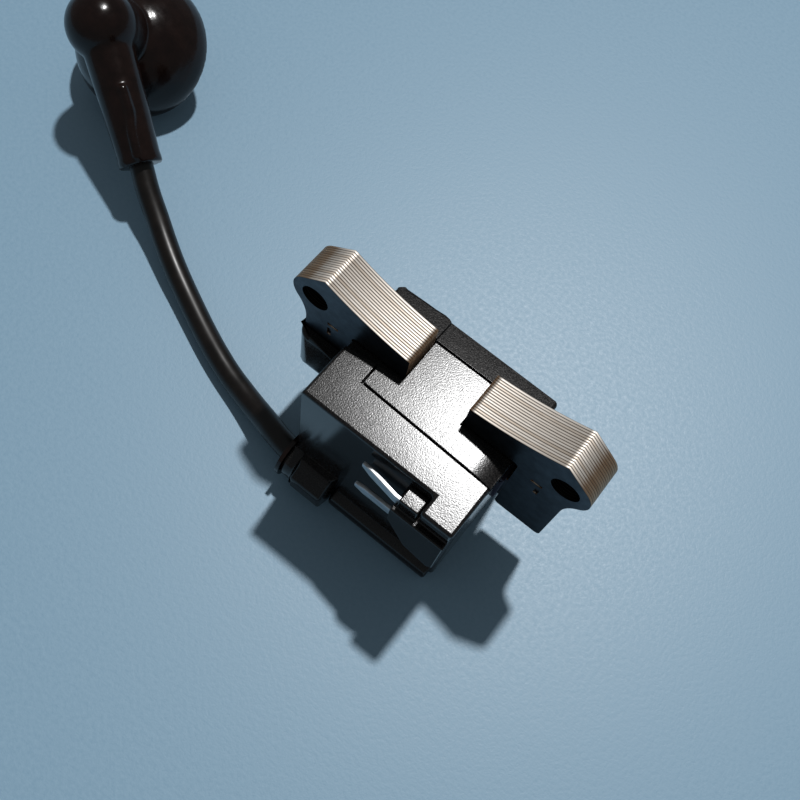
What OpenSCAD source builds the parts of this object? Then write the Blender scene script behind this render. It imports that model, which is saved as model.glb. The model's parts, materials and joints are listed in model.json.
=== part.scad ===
// Transistor ignition coil for a small engine: laminated core, potted coil case, high-tension lead and plug cap.
// Millimetres, +Z up. Origin: middle of the underside of the coil itself, lead and cap left out of that box.
// X runs along the two bolt ears, Y along the bolt holes, and the open side of the pole faces looks up.

/* [Core] */
// Thickness of one steel lamination
lamination_t = 0.5; // [0.35:0.05:0.5]
// Number of laminations in the stack
lamination_count = 16; // [14:1:16]
// Middle plane of the lamination stack, behind the origin
core_y = 6.6; // [6.4:0.1:6.8]
// Radius of the arc that both pole faces lie on
pole_r = 57; // [50:1:70]
// Half of the gap between the two pole tips
tip_x = 6.2; // [6:0.1:6.8]
// Height of the pole tips
tip_z = 45; // [44:0.5:47]
// Thickness of a pole shoe at its tip
shoe_t = 6.2; // [5:0.1:6.4]
// Where the pole arc ends and the slanting facet starts
pole_end_x = 24.4; // [23.5:0.1:24.8]
// Distance of a bolt hole from the middle
bolt_x = 26.1; // [25.9:0.1:26.5]
// Height of the bolt holes
bolt_z = 42.5; // [41.5:0.1:42.8]
// Bolt hole, clearance for an M5 screw
bolt_d = 5.5; // [5:0.1:5.8]
// Radius of the rounded bolt ear
ear_r = 4.8; // [4.6:0.1:5]
// Inner side of each leg
leg_in = 17.7; // [17.7:0.1:17.9]
// Outer side of each leg
leg_out = 27.8; // [27.4:0.1:27.8]
// Foot of each leg
leg_z = 18.5; // [18.5:0.1:20]
// Side of the square bar that joins the legs through the coil
bar_h = 8; // [7:0.5:8]

/* [Case] */
// Left side of the case
case_x0 = -17.6; // [-17.6:0.1:-17.4]
// Right side of the case
case_x1 = 16.7; // [16.5:0.1:16.8]
// Front of the case
case_y0 = -10.9; // [-11.2:0.1:-10.8]
// Back of the case
case_y1 = 16; // [15.8:0.1:16.2]
// Height of the case
case_h = 39.8; // [39.6:0.1:40]
// Wall thickness
wall = 1.6; // [1.4:0.1:1.7]
// Thickness of the roof under the pole shoes
roof_t = 1.5; // [1.2:0.1:1.8]
// Depth of the seat that takes the cover and the pole shoes
seat_d = 1.5; // [1.2:0.1:1.5]

/* [Lead] */
// Diameter of the high-tension lead
lead_d = 5; // [4.6:0.1:5]
// Half width across the flats of the lead outlet on the case
outlet_r = 5.3; // [5:0.1:5.3]
// Radius of the cap's round head
cap_head_r = 7.5; // [7.2:0.1:7.8]
// Radius of the cap's sealing flange
cap_flange_r = 15.2; // [14.5:0.1:15.2]
// Radius of the socket that grips the spark plug
socket_r = 5; // [4.6:0.1:5.2]

/* [Hidden] */
$fn = 64;
eps = 0.01;
slip = 0.05;
lap = 1;

// Core profile, worked out in the X-Z plane
stack_t = lamination_t * lamination_count;
arc_z = tip_z + sqrt(pole_r * pole_r - tip_x * tip_x);
pole_end_z = arc_z - sqrt(pole_r * pole_r - pole_end_x * pole_end_x);
shoe_z = tip_z - shoe_t;
facet_dx = bolt_x - pole_end_x;
facet_dz = bolt_z - pole_end_z;
facet_d = sqrt(facet_dx * facet_dx + facet_dz * facet_dz);
facet_len = sqrt(facet_d * facet_d - ear_r * ear_r);
facet_a = atan2(facet_dz, facet_dx) + asin(ear_r / facet_d);
facet_over = 1;
neck_z = 34;
neck_dx = leg_out - bolt_x;
neck_dz = bolt_z - neck_z;
neck_r = (neck_dz * neck_dz + neck_dx * neck_dx - ear_r * ear_r) / (2 * (ear_r - neck_dx));
neck_k = ear_r / (ear_r + neck_r);
foot_r = 1;
shoe_fillet = 0.8;
bar_z = 26.65;

// Case
cavity_x0 = case_x0 + wall;
cavity_x1 = case_x1 - wall;
cavity_y0 = case_y0 + wall;
cavity_y1 = case_y1 - wall;
seat_z = case_h - seat_d;
cavity_h = seat_z - roof_t;
seat_back_y = 11.3;
seat_wall_in_y = core_y - 4.87;
seat_wall_out_y = core_y - 6.12;
seam_left_x = -11.2;
seam_left_y = core_y - 9.8;
seam_right_y = core_y - 10.8;
seam_w = 0.3;
ledge = 1.2;
raised_x = -6.3;
raised_h = 0.6;
rear_corner_r = 1.8;
deck_x0 = 10.2;
deck_y0 = -14.7;
deck_t = 3;
rib_r = 2.6;
rib_x0 = -8;
rib_x1 = 16;
rib_y = case_y0 + 0.3;
rib_z = rib_r + slip;
sleeve_x0 = -28.4;
sleeve_y0 = core_y - 6.2;
sleeve_y1 = core_y + 5.8;
sleeve_z0 = 16.7;
sleeve_z1 = 30.7;
sleeve_corner_r = 2.8;
sleeve_plan_r = 3;
sleeve_foot_r = 4.2;
fit_gap = 0.1;
window_x = 4.8;
window_y1 = 10;
resin_z0 = 0.6;
resin_gap = 0.5;

// Coil, half sizes of the square tubes around the bar
bar_half = bar_h / 2;
primary_tube_in = bar_half + fit_gap;
primary_tube_out = 4.95;
primary_wire_out = 5.75;
secondary_tube_in = 5.9;
secondary_tube_out = 6.5;
secondary_wire_out = 7.3;
secondary_flange = 7.6;
coil_x = 14.2;
bobbin_wall = 0.8;
section_count = 6;
section_wall = 0.7;
bobbin_out_x = 17.3;

// Terminals
block_x0 = 5.4;
block_x1 = 16.5;
block_y0 = -15.4;
block_z0 = 19;
block_z1 = 33.5;
block_mid_y = -13.9;
block_step = 0.2;
block_outline = [[block_x0, block_z1], [block_x1, block_z1], [block_x1, block_z0 + 1.6], [block_x1 - 1, block_z0],
                 [9.9, block_z0 + 1.6], [6.2, 26.6], [block_x0, 27.6]];
horn_x0 = 6;
horn_x1 = 9.9;
horn_y0 = -14.3;
horn_z1 = 37;
blade_t = 0.8;
blade_h = 2.8;
blade_y = -13.8;
blade_tip_x = -2.8;
blade_bend = 9;
blade_taper = 2;
blade_root_x = block_x0 - 0.4;
stop_z = 32.6;
ground_z = 24.8;
tail_x = 7.2;
tail_h = 1.4;
tail_z_in = (blade_h - tail_h) / 2;

// Circuit board
board_y1 = -1.8;
board_t = 1.6;
board_y0 = board_y1 - board_t;
board_x0 = -13;
board_x1 = 14.75;
board_z0 = 5.5;
board_z1 = 35.5;
transistor_x0 = -2.5;
transistor_x1 = 6;
transistor_z0 = 15;
transistor_z1 = 24;
transistor_t = 4.4;
tab_t = 1.3;
tab_z1 = 31;
capacitor_x0 = -12;
capacitor_x1 = -5;
capacitor_z0 = 26;
capacitor_z1 = 32.5;
capacitor_t = 3.4;
diode_x = -8.5;
diode_z = 16;
diode_r = 1.3;
diode_len = 5.2;
resistor_count = 3;
resistor_x = 9;
resistor_pitch = 2.2;
resistor_z = 9;
resistor_r = 0.9;
resistor_len = 4;
strap_x = 14.35;
strap_t = 0.4;
strap_half = 1;

// Lead outlet
outlet_y = -10.7;
outlet_z = 6.8;
outlet_x0 = -15.6;
outlet_end_x = -8.2;
collar_x = case_x0 - 0.8;
collar_r = 4.7;
bore_r = lead_d / 2 + 0.1;
grommet_x0 = -19.2;
grommet_seat_x = -14;
grommet_r = 3.6;
grommet_lip_r = 5.3;
lead_end_x = -11.5;
pin_r = 0.6;
pin_x = -9.2;
pin_end_y = -4.4;

// Route of the lead's middle line, from inside the outlet to inside the cap sleeve
route = [[-11.5, -10.7, 6.8], [-15.5, -10.7, 6.8], [-20, -10.7, 6.8], [-24, -9.9, 6.1], [-28, -8.7, 4.8],
         [-32, -7.6, 3.6], [-36, -6.5, 2.9], [-40, -5.4, 2.6], [-45, -3.7, 2.6], [-50, -1.7, 2.6],
         [-55, 0.5, 2.8], [-60, 2.8, 3.2], [-65, 5.2, 4], [-70, 7.9, 5.1], [-74.5, 10.5, 6.6],
         [-79, 13, 8.7], [-83.3, 15.8, 11.2], [-87.43, 18.42, 13.7], [-91.55, 21.03, 16.2], [-95.68, 23.65, 18.7]];
ring_sides = 10;
rings_per_leg = 2;

// Plug cap: the head's middle, the way to the sleeve's rim and the way to the flange
head_c = [-105.25, 29.71, 24.5];
sleeve_dir = [0.7515, -0.4762, -0.4555];
plug_dir = [-0.03, 0.545, -0.838];
sleeve_len = 29.2;
sleeve_rim_r = 4.5;
sleeve_root_r = 5.5;
flange_d = 19.2;
socket_d = 14;
clip_r = 3.6;
clip_t = 0.6;
clip_z0 = -2.2;
clip_len = 7.2;
clip_pocket_r = 3.75;
cap_bore_d = 12.4;
flange_edge = 0.4;
cap_profile = [[0, 0], [cap_head_r - 0.1, 0], [7.4, 6.1], [8.3, 6.8], [9.6, 7.7], [11.4, 9.4], [13.2, 11.7],
               [14.5, 14.1], [cap_flange_r, 16.8], [cap_flange_r, flange_d - flange_edge],
               [cap_flange_r - flange_edge, flange_d], [0, flange_d]];

// ---- Helpers ----

// Places children so that their +Z points along a direction from a point
module along(point, dir) {
    flat = sqrt(dir[0] * dir[0] + dir[1] * dir[1]);
    translate(point)
        rotate([0, atan2(flat, dir[2]), atan2(dir[1], dir[0])])
            children();
}

// A box from its lowest corner to its highest corner
module block(low, high) {
    translate(low)
        cube(high - low);
}

// A square tube along X around the bar's middle line
module coil_tube(x0, x1, half_in, half_out) {
    difference() {
        block([x0, core_y - half_out, bar_z - half_out], [x1, core_y + half_out, bar_z + half_out]);
        block([x0 - lap, core_y - half_in, bar_z - half_in], [x1 + lap, core_y + half_in, bar_z + half_in]);
    }
}

// A round rod along X
module rod_x(x0, x1, y, z, r) {
    translate([x0, y, z])
        rotate([0, 90, 0])
            cylinder(h = x1 - x0, r = r);
}

// ---- Laminated core ----

// Outline of one L-shaped lamination: leg, pole shoe and bolt ear
module lamination_outline() {
    facet_top = [pole_end_x - facet_over * cos(facet_a), pole_end_z - facet_over * sin(facet_a)];
    facet_foot = [pole_end_x + facet_len * cos(facet_a), pole_end_z + facet_len * sin(facet_a)];
    neck_c = [leg_out + neck_r, neck_z];
    neck_top = [bolt_x + neck_k * (neck_c[0] - bolt_x), bolt_z + neck_k * (neck_z - bolt_z)];
    difference() {
        union() {
            polygon([[tip_x, shoe_z], [leg_in, shoe_z], [leg_in, leg_z + foot_r], [leg_in + foot_r, leg_z],
                     [leg_out - foot_r, leg_z], [leg_out, leg_z + foot_r], [leg_out, neck_z], neck_top,
                     [bolt_x, bolt_z], facet_foot, facet_top, [tip_x, facet_top[1]]]);
            translate([bolt_x, bolt_z])
                circle(r = ear_r);
            translate([leg_in + foot_r, leg_z + foot_r])
                circle(r = foot_r);
            translate([leg_out - foot_r, leg_z + foot_r])
                circle(r = foot_r);
            difference() {
                translate([leg_in - shoe_fillet, shoe_z - shoe_fillet])
                    square([shoe_fillet + eps, shoe_fillet + eps]);
                translate([leg_in - shoe_fillet, shoe_z - shoe_fillet])
                    circle(r = shoe_fillet);
            }
        }
        translate([0, arc_z])
            circle(r = pole_r, $fn = 360);
        translate(neck_c)
            circle(r = neck_r);
        translate([bolt_x, bolt_z])
            circle(d = bolt_d);
    }
}

// The bonded stack of laminations for the right-hand side
module pole_piece() {
    translate([0, core_y + stack_t / 2, 0])
        rotate([90, 0, 0])
            linear_extrude(stack_t)
                lamination_outline();
}

module core_right() {
    color("#6b6d72")
        pole_piece();
}

module core_left() {
    color("#6b6d72")
        mirror([1, 0, 0])
            pole_piece();
}

// Square laminated bar through the bobbins, ending against both legs
module core_bar() {
    color("#5d5f64")
        block([-leg_in, core_y - bar_half, bar_z - bar_half], [leg_in, core_y + bar_half, bar_z + bar_half]);
}

// ---- Coil case ----

// Area of the roof seat: both pole-shoe pockets and the T of the cover
module seat_outline() {
    slope = (seat_wall_in_y - seat_wall_out_y) / (-tip_x - case_x0);
    seam_slope = (seam_right_y - seam_left_y) / (case_x1 - seam_left_x);
    polygon([[case_x0 - lap, seat_back_y], [case_x1 + lap, seat_back_y],
             [case_x1 + lap, seam_right_y + seam_slope * lap], [seam_left_x, seam_left_y],
             [seam_left_x, seat_wall_out_y + slope * (seam_left_x - case_x0)],
             [case_x0 - lap, seat_wall_out_y - slope * lap]]);
}

// An eight-sided bar along X with a flat facing each way
module octagon_x(x0, x1, flat_r) {
    translate([x0, outlet_y, outlet_z])
        rotate([0, 90, 0])
            rotate([0, 0, 22.5])
                cylinder(h = x1 - x0, r = flat_r / cos(22.5), $fn = 8);
}

// Eight-sided lead outlet, half sunk in the front wall, with a round collar at its mouth
module outlet_body() {
    octagon_x(outlet_x0, outlet_end_x, outlet_r);
    rod_x(collar_x, outlet_x0 + eps, outlet_y, outlet_z, collar_r);
}

// Space that the lead, its grommet and the pin take up in the outlet
module outlet_bores() {
    rod_x(grommet_seat_x - lap, lead_end_x, outlet_y, outlet_z, bore_r);
    rod_x(case_x0 - 2 * lap, grommet_seat_x, outlet_y, outlet_z, grommet_r);
    pin_shape();
}

// A rectangle with all four corners rounded
module rounded_rect(low, high, r) {
    translate([low[0] + r, low[1]])
        square([high[0] - low[0] - 2 * r, high[1] - low[1]]);
    translate([low[0], low[1] + r])
        square([high[0] - low[0], high[1] - low[1] - 2 * r]);
    for (x = [low[0] + r, high[0] - r], y = [low[1] + r, high[1] - r])
        translate([x, y])
            circle(r = r);
}

// Sleeve of the case that wraps the lower half of the left leg, rounded in plan and underneath
module leg_sleeve() {
    over = 10;
    length = case_x0 + eps - sleeve_x0;
    difference() {
        intersection() {
            translate([0, 0, sleeve_z0])
                linear_extrude(sleeve_z1 - sleeve_z0)
                    rounded_rect([sleeve_x0, sleeve_y0], [case_x0 + over, sleeve_y1], sleeve_plan_r);
            translate([0, sleeve_y1 + lap, 0])
                rotate([90, 0, 0])
                    linear_extrude(sleeve_y1 - sleeve_y0 + 2 * lap)
                        rounded_rect([sleeve_x0, sleeve_z0], [case_x0 + over, sleeve_z1 + over], sleeve_corner_r);
            translate([sleeve_x0, 0, 0])
                rotate([90, 0, 90])
                    linear_extrude(length)
                        rounded_rect([sleeve_y0, sleeve_z0], [sleeve_y1, sleeve_z1 + over], sleeve_foot_r);
        }
        translate([0, core_y + stack_t / 2 + fit_gap, 0])
            rotate([90, 0, 0])
                linear_extrude(stack_t + 2 * fit_gap)
                    rounded_rect([-leg_out - fit_gap, leg_z], [case_x0, sleeve_z1 + over], foot_r);
        block([case_x0 - 2 * foot_r, core_y - stack_t / 2 - fit_gap, leg_z],
              [case_x0, core_y + stack_t / 2 + fit_gap, sleeve_z1 + lap]);
    }
}

// Slots for the two terminal tails
module tail_slots() {
    for (z = [stop_z, ground_z])
        block([tail_x, blade_y, z + tail_z_in], [tail_x + blade_t, cavity_y0 + eps, z + tail_z_in + tail_h]);
}

// What the rounded rear corner loses
module rear_corner() {
    difference() {
        block([case_x0 - lap, case_y1 - rear_corner_r, -lap],
              [case_x0 + rear_corner_r, case_y1 + lap, case_h + 2 * lap]);
        translate([case_x0 + rear_corner_r, case_y1 - rear_corner_r, -2 * lap])
            cylinder(h = case_h + 5 * lap, r = rear_corner_r);
    }
}

module housing() {
    bobbin_hole = primary_tube_out + slip;
    color("#1c1b1d")
        difference() {
            union() {
                difference() {
                    union() {
                        block([case_x0, case_y0, 0], [case_x1, case_y1, case_h]);
                        block([case_x0, seat_back_y, case_h - lap], [raised_x, case_y1, case_h + raised_h]);
                        block([deck_x0, deck_y0, case_h - deck_t], [case_x1, case_y0 + lap, case_h]);
                    }
                    block([cavity_x0, cavity_y0, -lap], [cavity_x1, cavity_y1, cavity_h]);
                    translate([0, 0, seat_z])
                        linear_extrude(seat_d + lap)
                            seat_outline();
                }
                outlet_body();
                rod_x(rib_x0, rib_x1, rib_y, rib_z, rib_r);
                leg_sleeve();
            }
            rear_corner();
            block([-window_x, seam_left_y + ledge + lap, cavity_h - lap], [window_x, window_y1, seat_z + lap]);
            block([case_x0 - lap, core_y - bobbin_hole, bar_z - bobbin_hole],
                  [case_x1 + lap, core_y + bobbin_hole, bar_z + bobbin_hole]);
            outlet_bores();
            tail_slots();
        }
}

// T-shaped cover: the stem lies between the pole tips, the crossbar in front of them
module coil_cover() {
    slope = (seat_wall_in_y - seat_wall_out_y) / (-tip_x - case_x0);
    stem = tip_x - slip;
    right = case_x1 - slip;
    left = seam_left_x + seam_w;
    color("#211f22")
        translate([0, 0, seat_z])
            linear_extrude(seat_d)
                polygon([[-stem, seat_back_y - seam_w], [stem, seat_back_y - seam_w], [stem, seat_wall_in_y],
                         [right, seat_wall_in_y - slope * (right - stem)], [right, seam_right_y + seam_w],
                         [left, seam_left_y + seam_w], [left, seat_wall_in_y - slope * (-stem - left)],
                         [-stem, seat_wall_in_y]]);
}

// Resin that closes the open underside of the case
module potting_resin() {
    color("#2a2420")
        difference() {
            block([cavity_x0, cavity_y0, resin_z0], [cavity_x1, cavity_y1, board_z0 - resin_gap]);
            outlet_body();
            rod_x(rib_x0, rib_x1, rib_y, rib_z, rib_r);
        }
}

// ---- Terminals ----

// Moulded block in front of the case that holds both blades
module terminal_block() {
    color("#26262a")
        difference() {
            union() {
                translate([0, case_y0, 0])
                    rotate([90, 0, 0])
                        linear_extrude(case_y0 - block_y0)
                            polygon(block_outline);
                block([horn_x0, horn_y0, block_z1 - eps], [horn_x1, case_y0, horn_z1]);
                block([deck_x0 + block_step, block_mid_y, block_z1 - eps], [block_x1, case_y0, case_h - deck_t]);
            }
            tail_slots();
            for (z = [stop_z, ground_z])
                block([block_x0 - lap, blade_y, z], [tail_x + blade_t, blade_y + blade_t, z + blade_h]);
        }
}

// Plan of a blade: straight in the block, then bent back towards the case
module blade_plan(bend) {
    reach = blade_root_x - blade_tip_x + blade_taper;
    tip = [blade_root_x - reach * cos(bend), blade_y + blade_t + reach * sin(bend)];
    polygon([[tail_x + blade_t, blade_y], [blade_root_x - blade_t * tan(bend / 2), blade_y],
             [tip[0] - blade_t * sin(bend), tip[1] - blade_t * cos(bend)], tip,
             [blade_root_x, blade_y + blade_t], [tail_x + blade_t, blade_y + blade_t]]);
}

// Front view of a blade with its tapered tip
module blade_front() {
    polygon([[tail_x + blade_t, 0], [tail_x + blade_t, blade_h], [blade_tip_x + blade_taper, blade_h],
             [blade_tip_x, blade_h * 0.7], [blade_tip_x, blade_h * 0.3], [blade_tip_x + blade_taper, 0]]);
}

// A flat blade and its tail through the case wall to the board
module blade(z, bend) {
    union() {
        intersection() {
            translate([0, 0, z - lap])
                linear_extrude(blade_h + 2 * lap)
                    blade_plan(bend);
            translate([0, blade_y + 3 * lap, z])
                rotate([90, 0, 0])
                    linear_extrude(4 * lap)
                        blade_front();
        }
        block([tail_x, blade_y, z + tail_z_in], [tail_x + blade_t, board_y0, z + tail_z_in + tail_h]);
    }
}

module stop_terminal() {
    color("#c9ccd0")
        blade(stop_z, blade_bend);
}

module ground_terminal() {
    color("#c9ccd0")
        blade(ground_z, 0);
}

// ---- Windings ----

module primary_bobbin() {
    color("#3a2f45")
        difference() {
            union() {
                coil_tube(case_x0, bobbin_out_x, primary_tube_in, primary_tube_out);
                for (x = [-coil_x, coil_x - bobbin_wall])
                    coil_tube(x, x + bobbin_wall, primary_tube_in, primary_wire_out);
            }
            strap_finger();
        }
}

module primary_winding() {
    color("#b5602a")
        coil_tube(-coil_x + bobbin_wall, coil_x - bobbin_wall, primary_tube_out, primary_wire_out - 0.1);
}

// Sectioned bobbin: walls divide the fine winding into slices
module secondary_bobbin() {
    pitch = (2 * coil_x - section_wall) / section_count;
    color("#cfc7b4")
        union() {
            coil_tube(-coil_x, coil_x, secondary_tube_in, secondary_tube_out);
            for (i = [0 : section_count])
                coil_tube(-coil_x + i * pitch, -coil_x + i * pitch + section_wall, secondary_tube_in,
                          secondary_flange);
        }
}

module secondary_winding() {
    pitch = (2 * coil_x - section_wall) / section_count;
    color("#a8451f")
        for (i = [0 : section_count - 1])
            coil_tube(-coil_x + i * pitch + section_wall, -coil_x + (i + 1) * pitch, secondary_tube_out,
                      secondary_wire_out);
}

// ---- Electronics ----

module circuit_board() {
    color("#2f5a3c")
        block([board_x0, board_y0, board_z0], [board_x1, board_y1, board_z1]);
}

// Power transistor: moulded body and metal tab, flat on the board
module switching_transistor() {
    color("#2b2b2d")
        union() {
            block([transistor_x0, board_y0 - transistor_t, transistor_z0],
                  [transistor_x1, board_y0, transistor_z1]);
            block([transistor_x0, board_y0 - tab_t, transistor_z1 - eps], [transistor_x1, board_y0, tab_z1]);
        }
}

module timing_capacitor() {
    color("#b8862f")
        block([capacitor_x0, board_y0 - capacitor_t, capacitor_z0], [capacitor_x1, board_y0, capacitor_z1]);
}

module clamp_diode() {
    color("#3c3c40")
        translate([diode_x, board_y0 - diode_r, diode_z])
            cylinder(h = diode_len, r = diode_r);
}

// Small resistors side by side
module control_resistors() {
    color("#b99b6d")
        for (i = [0 : resistor_count - 1])
            translate([resistor_x + resistor_pitch * i, board_y0 - resistor_r, resistor_z])
                cylinder(h = resistor_len, r = resistor_r);
}

// Finger of the strap that passes the bobbin wall and touches the bar
module strap_finger() {
    block([strap_x, core_y - primary_tube_out - lap, bar_z - strap_half],
          [strap_x + strap_t, core_y - bar_half, bar_z + strap_half]);
}

// Strip that grounds the board to the core
module ground_strap() {
    color("#b08a4a")
        union() {
            strap_finger();
            block([strap_x, board_y1, bar_z - strap_half],
                  [strap_x + strap_t, core_y - primary_tube_out, bar_z + strap_half]);
        }
}

// ---- High-tension side ----

// Pin that meets the end of the lead and turns back into the case
module pin_shape() {
    rod_x(lead_end_x + eps, pin_x + pin_r, outlet_y, outlet_z, pin_r);
    translate([pin_x, outlet_y, outlet_z])
        rotate([-90, 0, 0])
            cylinder(h = pin_end_y - outlet_y, r = pin_r);
}

module ht_pin() {
    color("#c8a65a")
        pin_shape();
}

// Rubber bush in the mouth of the outlet
module lead_grommet() {
    color("#2b211d")
        difference() {
            union() {
                rod_x(collar_x - eps, grommet_seat_x, outlet_y, outlet_z, grommet_r);
                rod_x(grommet_x0, collar_x, outlet_y, outlet_z, grommet_lip_r);
            }
            rod_x(grommet_x0 - lap, grommet_seat_x + lap, outlet_y, outlet_z, bore_r);
        }
}

// Sweep of a round section along the route
function unit(v) = v / norm(v);
function hermite(p0, p1, m0, m1, t) =
    (2 * t * t * t - 3 * t * t + 1) * p0 + (t * t * t - 2 * t * t + t) * m0
    + (3 * t * t - 2 * t * t * t) * p1 + (t * t * t - t * t) * m1;
function slope_at(p, i) =
    i == 0 ? p[1] - p[0] : i == len(p) - 1 ? p[i] - p[i - 1] : (p[i + 1] - p[i - 1]) / 2;
function smooth(p, n) =
    [for (i = [0 : len(p) - 2]) for (k = [0 : n - 1])
         hermite(p[i], p[i + 1], slope_at(p, i), slope_at(p, i + 1), k / n), p[len(p) - 1]];
function ring(c, t, r, sides) =
    let (side = unit(cross(t, [0, 0, 1])), up = cross(side, t))
    [for (k = [0 : sides - 1]) c + r * (cos(360 * k / sides) * side + sin(360 * k / sides) * up)];

module swept_tube(path, r, sides) {
    n = len(path);
    points = [for (i = [0 : n - 1]) for (q = ring(path[i], unit(slope_at(path, i)), r, sides)) q];
    walls = [for (i = [0 : n - 2]) for (k = [0 : sides - 1])
                 [i * sides + k, i * sides + (k + 1) % sides, (i + 1) * sides + (k + 1) % sides,
                  (i + 1) * sides + k]];
    start = [for (k = [0 : sides - 1]) sides - 1 - k];
    end = [for (k = [0 : sides - 1]) (n - 1) * sides + k];
    polyhedron(points = points, faces = concat(walls, [start, end]));
}

module ht_lead() {
    color("#161413")
        swept_tube(smooth(route, rings_per_leg), lead_d / 2, ring_sides);
}

// ---- Plug cap ----

// Rubber elbow: round head, tapering sleeve for the lead, skirt and sealing flange for the plug
module plug_cap() {
    color("#2a1d19")
        difference() {
            union() {
                translate(head_c)
                    sphere(r = cap_head_r);
                along(head_c, sleeve_dir)
                    cylinder(h = sleeve_len, r1 = sleeve_root_r, r2 = sleeve_rim_r);
                along(head_c, plug_dir)
                    rotate_extrude()
                        polygon(cap_profile);
            }
            along(head_c, sleeve_dir)
                translate([0, 0, cap_bore_d])
                    cylinder(h = sleeve_len, r = bore_r);
            along(head_c, sleeve_dir)
                translate([0, 0, lap])
                    cylinder(h = cap_bore_d, r = pin_r);
            along(head_c, plug_dir)
                translate([0, 0, flange_d - socket_d])
                    cylinder(h = socket_d + lap, r = socket_r);
            along(head_c, plug_dir)
                translate([0, 0, clip_z0])
                    cylinder(h = flange_d - clip_z0, r = clip_pocket_r);
        }
}

// Spring sleeve that snaps over the plug's terminal nut
module cap_clip() {
    color("#a9acb0")
        along(head_c, plug_dir)
            translate([0, 0, clip_z0 + fit_gap])
                difference() {
                    cylinder(h = clip_len, r = clip_r);
                    translate([0, 0, -lap])
                        cylinder(h = clip_len + 2 * lap, r = clip_r - clip_t);
                }
}

// Contact screw between the lead's end and the clip
module cap_spike() {
    color("#c8a65a")
        along(head_c, sleeve_dir)
            translate([0, 0, clip_r + fit_gap])
                cylinder(h = cap_bore_d - clip_r - 2 * fit_gap, r = pin_r);
}

housing();
coil_cover();
potting_resin();
terminal_block();
stop_terminal();
ground_terminal();
core_left();
core_right();
core_bar();
primary_bobbin();
primary_winding();
secondary_bobbin();
secondary_winding();
circuit_board();
switching_transistor();
timing_capacitor();
clamp_diode();
control_resistors();
ground_strap();
ht_pin();
lead_grommet();
ht_lead();
plug_cap();
cap_clip();
cap_spike();
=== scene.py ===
"""Looks of a small-engine ignition coil: core, potted case, terminals, high-tension lead and plug cap.

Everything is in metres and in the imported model's own frame: X along the two bolt ears, Y along the bolt
holes, Z up, with the floor at zero. Sizes are written in millimetres and scaled by MM where a mesh is made.
"""

from __future__ import annotations

import json
import logging
import math
import random
from dataclasses import dataclass
from enum import Enum
from typing import Callable, Sequence

import bmesh
import bpy
from mathutils import Matrix, Vector

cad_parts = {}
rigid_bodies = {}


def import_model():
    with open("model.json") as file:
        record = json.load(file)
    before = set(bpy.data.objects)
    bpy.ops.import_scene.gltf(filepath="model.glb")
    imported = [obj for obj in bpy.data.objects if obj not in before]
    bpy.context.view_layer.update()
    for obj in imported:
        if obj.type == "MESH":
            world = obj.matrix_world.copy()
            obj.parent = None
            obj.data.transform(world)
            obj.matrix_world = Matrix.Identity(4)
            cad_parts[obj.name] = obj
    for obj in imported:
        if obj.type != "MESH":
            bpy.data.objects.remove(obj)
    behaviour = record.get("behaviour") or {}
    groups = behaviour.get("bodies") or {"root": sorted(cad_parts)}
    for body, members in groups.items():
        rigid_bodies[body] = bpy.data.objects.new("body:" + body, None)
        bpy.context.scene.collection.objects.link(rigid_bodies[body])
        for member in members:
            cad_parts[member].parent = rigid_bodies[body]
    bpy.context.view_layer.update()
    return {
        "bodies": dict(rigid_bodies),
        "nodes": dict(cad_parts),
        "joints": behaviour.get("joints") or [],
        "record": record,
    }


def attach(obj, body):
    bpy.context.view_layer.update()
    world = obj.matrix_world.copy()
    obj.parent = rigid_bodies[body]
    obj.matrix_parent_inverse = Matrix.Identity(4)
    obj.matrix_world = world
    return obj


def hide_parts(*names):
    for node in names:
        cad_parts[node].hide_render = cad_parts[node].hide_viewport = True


LOG = logging.getLogger("ignition_coil")
MM = 0.001
ROOT = "root"

Point2 = tuple[float, float]
Point3 = tuple[float, float, float]


class Side(Enum):
    """Which of the two mirrored core halves; the value is the sign of its X."""

    LEFT = -1
    RIGHT = 1


# ---------------------------------------------------------------- small helpers


def linear(hex_colour: str) -> tuple[float, float, float, float]:
    """Turns an sRGB hex colour into linear RGBA.

    Args:
        hex_colour: Six hex digits with a leading hash.

    Returns:
        Linear red, green and blue, and an alpha of one.
    """
    digits = hex_colour.lstrip("#")
    channels = [int(digits[i : i + 2], 16) / 255 for i in (0, 2, 4)]
    values = [c / 12.92 if c <= 0.04045 else ((c + 0.055) / 1.055) ** 2.4 for c in channels]
    return (values[0], values[1], values[2], 1.0)


def add_node(
    tree: bpy.types.NodeTree, kind: str, settings: dict | None = None, links: dict | None = None
) -> bpy.types.Node:
    """Adds one node to a tree, with its settings and the links into it.

    Args:
        tree: The node tree to add to.
        kind: The node's bl_idname.
        settings: Values by name or index; a name that is no input of the node is one of its properties.
        links: Source sockets by the name or index of the input that they feed.

    Returns:
        The new node.
    """
    node = tree.nodes.new(kind)
    for name, value in (settings or {}).items():
        if isinstance(name, int) or name in node.inputs:
            node.inputs[name].default_value = value
        else:
            setattr(node, name, value)
    for name, socket in (links or {}).items():
        tree.links.new(socket, node.inputs[name])
    return node


def arc(centre: Point2, radius: float, start: float, end: float, steps: int) -> list[Point2]:
    """Points of a circular arc, both ends included.

    Args:
        centre: The arc's centre.
        radius: Its radius.
        start: First angle in degrees.
        end: Last angle in degrees.
        steps: Number of chords.

    Returns:
        The points from start to end.
    """
    angles = [math.radians(start + (end - start) * i / steps) for i in range(steps + 1)]
    return [(centre[0] + radius * math.cos(a), centre[1] + radius * math.sin(a)) for a in angles]


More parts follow.
